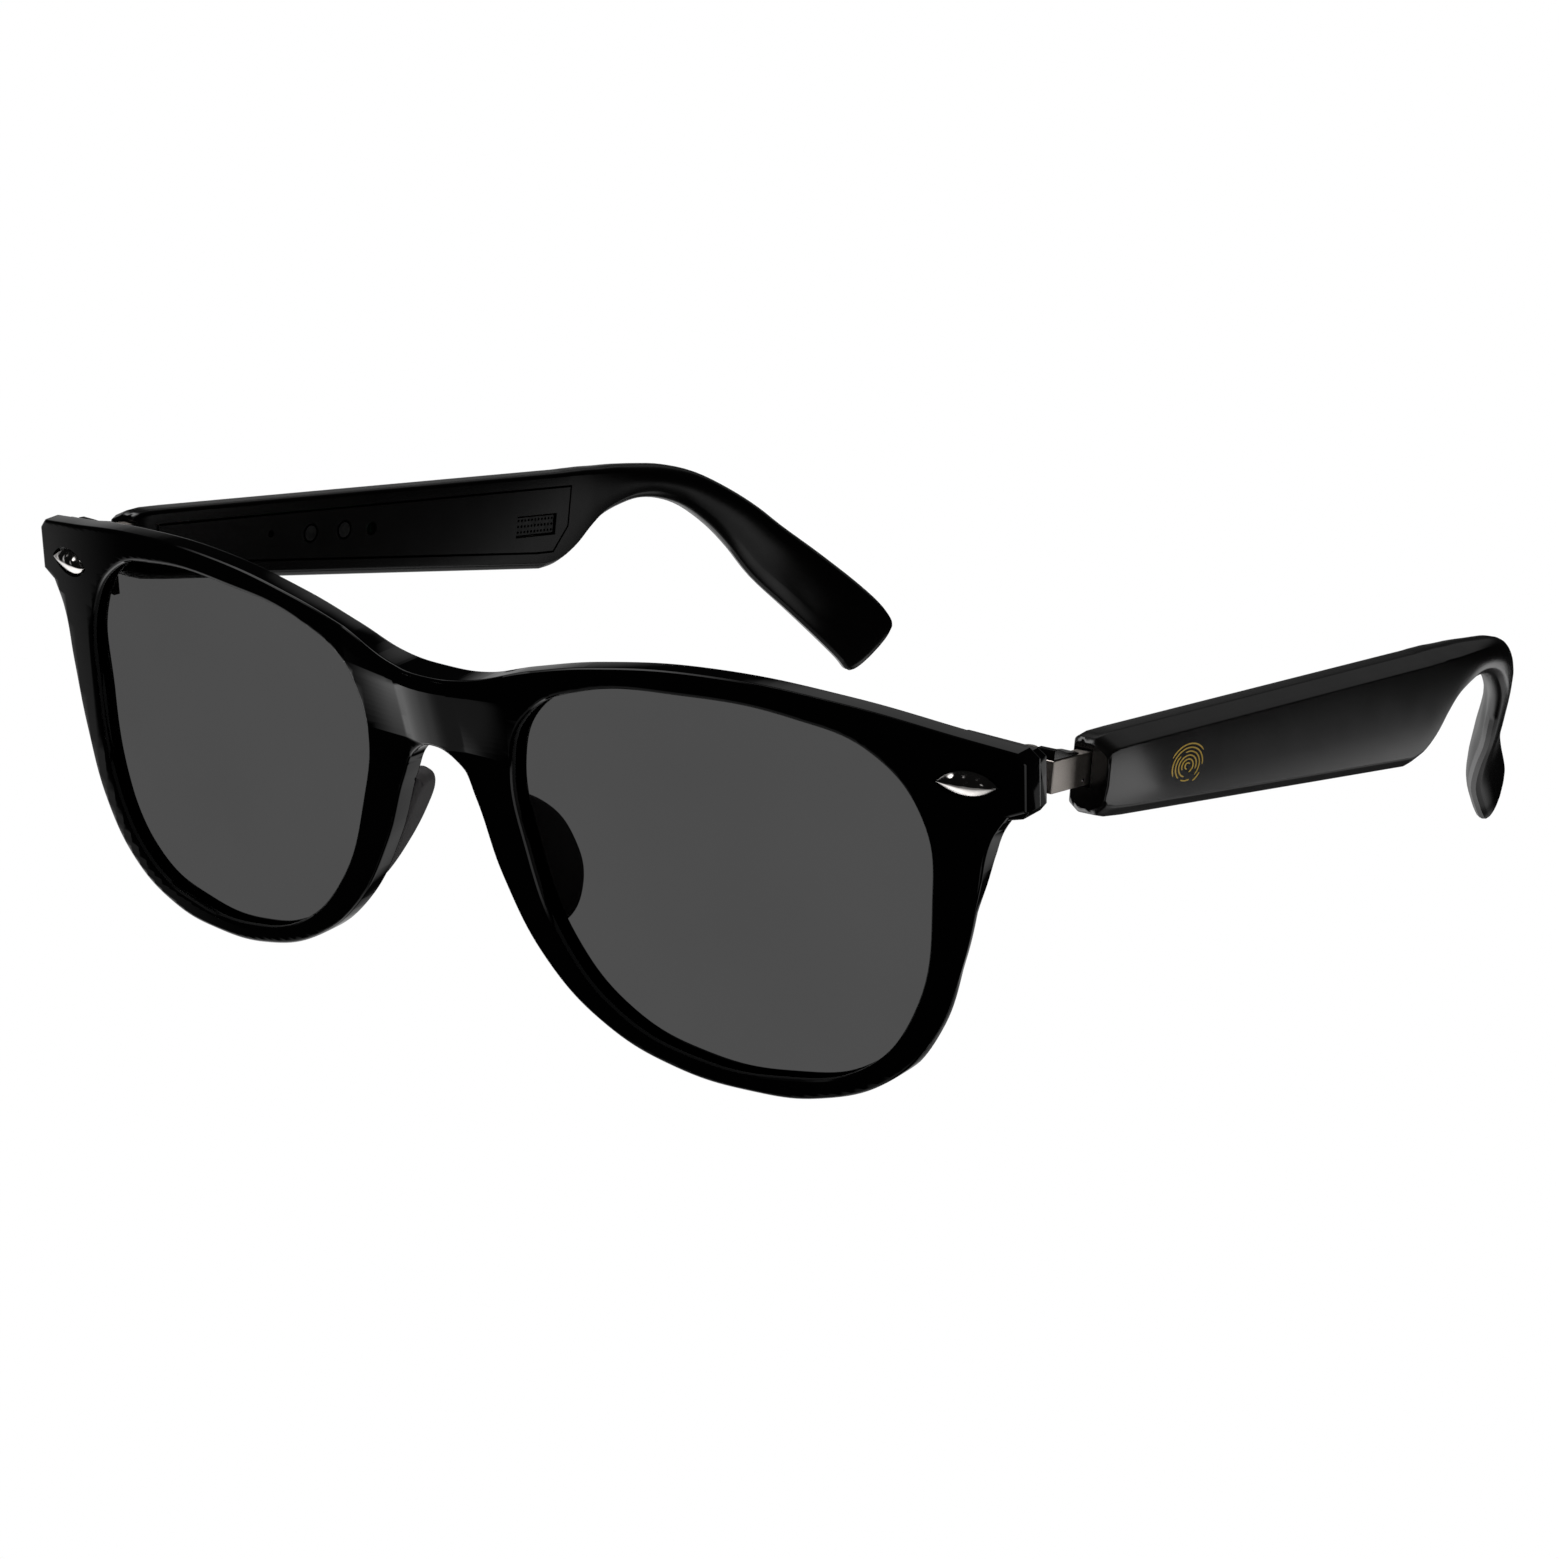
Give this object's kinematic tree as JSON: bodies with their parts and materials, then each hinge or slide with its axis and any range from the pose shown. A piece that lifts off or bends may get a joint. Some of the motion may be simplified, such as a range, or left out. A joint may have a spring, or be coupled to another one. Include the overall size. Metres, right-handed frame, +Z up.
{
  "type": "smart glasses",
  "caption": "Smart glasses with a glossy black front, tinted lenses and thin electronic temples on sprung folding hinges that end in ear hooks.",
  "frame": {"origin": "the middle of the base of the open glasses standing on a table, below the middle of their overall length and width", "axes": "+X to the wearer's left, +Y from the lenses back along the temples, +Z up, with the open glasses standing on the bottoms of their rims and the tips of their ear hooks"},
  "size_m": [0.1478, 0.1564, 0.0478],
  "materials": {
    "black_gloss": "polished black moulded plastic",
    "black_satin": "satin black moulded plastic",
    "tinted_lens": "polished neutral grey tint",
    "chrome": "polished",
    "hinge_steel": "fine brushed, warm nickel tone",
    "circuit_board": "green solder mask",
    "copper_film": "dull copper",
    "battery_foil": "matt pouch foil",
    "speaker_case": "stamped metal",
    "grille_steel": "fine dark mesh",
    "gold_plate": "gold plated",
    "light_pipe": "frosted clear"
  },
  "bodies": {
    "front": {"front_frame": "black_gloss", "lens_left": "tinted_lens", "lens_right": "tinted_lens", "nose_pad_left": "black_satin", "nose_pad_right": "black_satin", "rivet_left": "chrome", "rivet_right": "chrome", "front_hinge_left": "hinge_steel", "front_hinge_right": "hinge_steel", "hinge_pin_left": "hinge_steel", "hinge_pin_right": "hinge_steel"},
    "left_link": {"hinge_link_left": "hinge_steel", "hinge_cap_left": "black_satin"},
    "right_link": {"hinge_link_right": "hinge_steel", "hinge_cap_right": "black_satin"},
    "left_temple": {"temple_shell_left": "black_satin", "temple_cover_left": "black_satin", "spring_socket_left": "hinge_steel", "hinge_spring_left": "hinge_steel", "circuit_board_left": "circuit_board", "touch_pad_left": "copper_film", "battery_left": "battery_foil", "speaker_left": "speaker_case", "speaker_grille_left": "grille_steel", "microphone_left": "gold_plate", "charging_contact_front_left": "gold_plate", "charging_contact_rear_left": "gold_plate", "status_light_left": "light_pipe"},
    "right_temple": {"temple_shell_right": "black_satin", "temple_cover_right": "black_satin", "spring_socket_right": "hinge_steel", "hinge_spring_right": "hinge_steel", "circuit_board_right": "circuit_board", "touch_pad_right": "copper_film", "battery_right": "battery_foil", "speaker_right": "speaker_case", "speaker_grille_right": "grille_steel", "microphone_right": "gold_plate", "charging_contact_front_right": "gold_plate", "charging_contact_rear_right": "gold_plate", "status_light_right": "light_pipe"}
  },
  "joints": [
    {"name": "left_temple_fold", "type": "hinge", "parent": "front", "child": "left_link", "pos_m": [0.0682, -0.0614, 0.03958], "axis": [0, -0.0922, 0.9957], "range_deg": [0, 86]},
    {"name": "right_temple_fold", "type": "hinge", "parent": "front", "child": "right_link", "pos_m": [-0.0682, -0.0614, 0.03958], "axis": [0, 0.0922, -0.9957], "range_deg": [0, 77]},
    {"name": "left_hinge_stretch", "type": "slide", "parent": "left_link", "child": "left_temple", "axis": [-0.0548, 0.9937, -0.0979], "range_m": [0, 0.0015], "stiffness_N_per_m": 400, "springref_m": -0.0015},
    {"name": "right_hinge_stretch", "type": "slide", "parent": "right_link", "child": "right_temple", "axis": [0.0548, 0.9937, -0.0979], "range_m": [0, 0.0015], "stiffness_N_per_m": 400, "springref_m": -0.0015}
  ]
}
